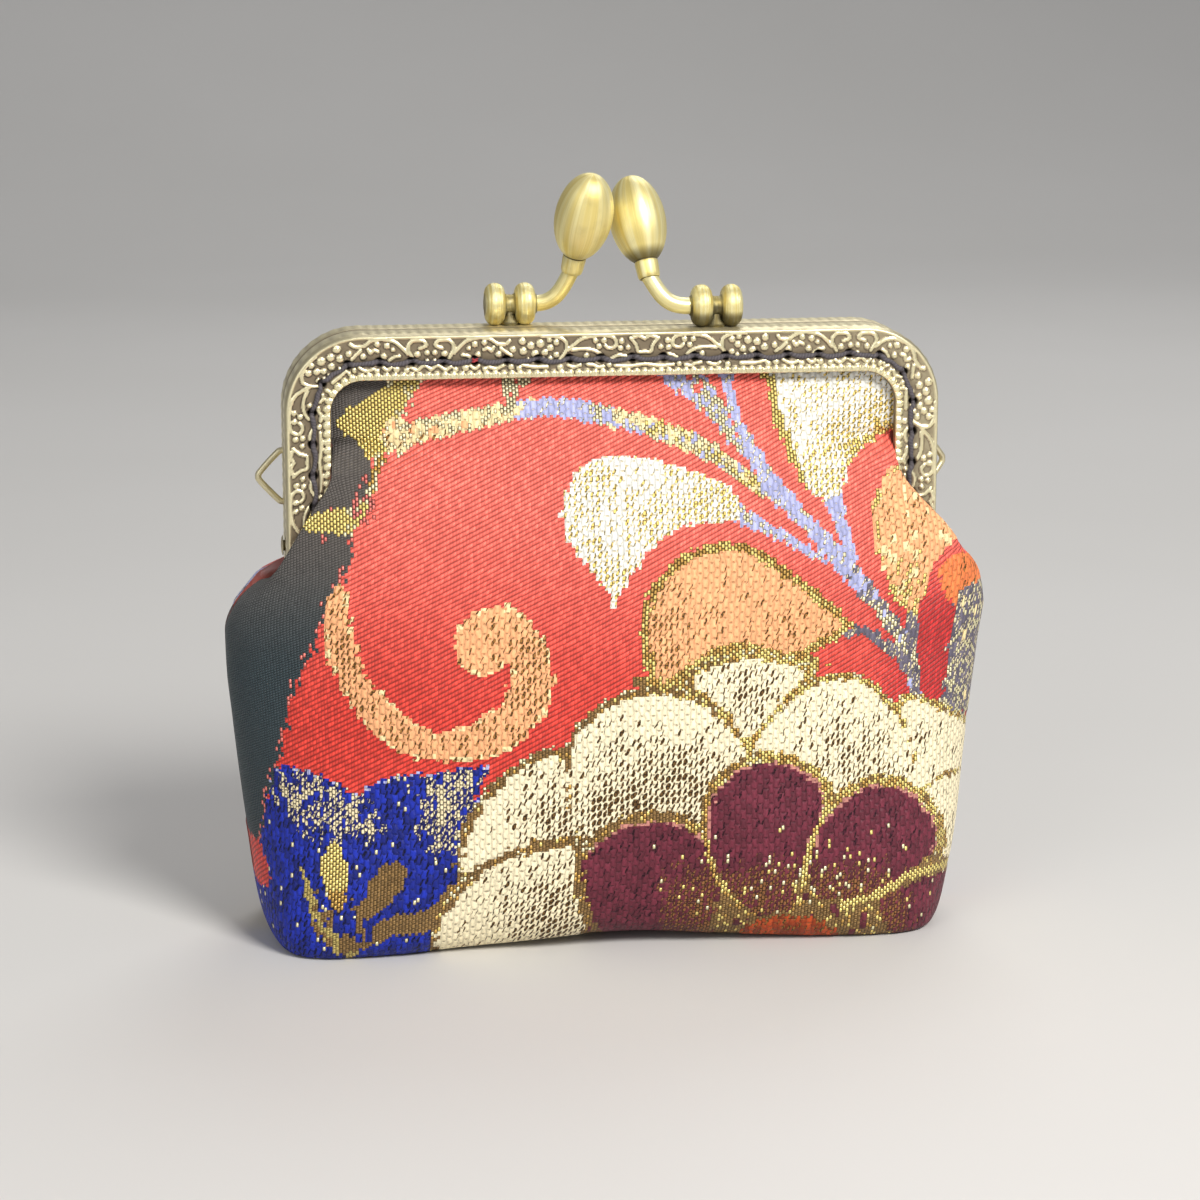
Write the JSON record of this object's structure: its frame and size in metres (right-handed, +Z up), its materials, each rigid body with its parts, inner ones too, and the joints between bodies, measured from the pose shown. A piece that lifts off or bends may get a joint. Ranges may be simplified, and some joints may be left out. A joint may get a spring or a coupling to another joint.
{
  "type": "kiss-lock coin purse",
  "caption": "Small brocade coin purse with a boxed base, sewn into an embossed hinged metal frame with a twin-knob kiss-lock clasp and side eyes for a chain.",
  "frame": {"origin": "middle of the base, on the floor", "axes": "+Z up, +Y to the back, +X to the right as seen from the front"},
  "size_m": [0.0996, 0.035, 0.0989],
  "materials": {
    "brocade": "woven",
    "antique_brass": "aged",
    "knob_brass": "brushed"
  },
  "bodies": {
    "root": {"panel_front": "brocade", "panel_back": "brocade", "frame_front": "antique_brass", "frame_back": "antique_brass", "hinge_rivet_left": "antique_brass", "hinge_rivet_right": "antique_brass", "side_loop_left": "antique_brass", "side_loop_right": "antique_brass", "clasp_arm_left": "antique_brass", "clasp_arm_right": "antique_brass", "clasp_knob_left": "knob_brass", "clasp_knob_right": "knob_brass"}
  },
  "joints": []
}
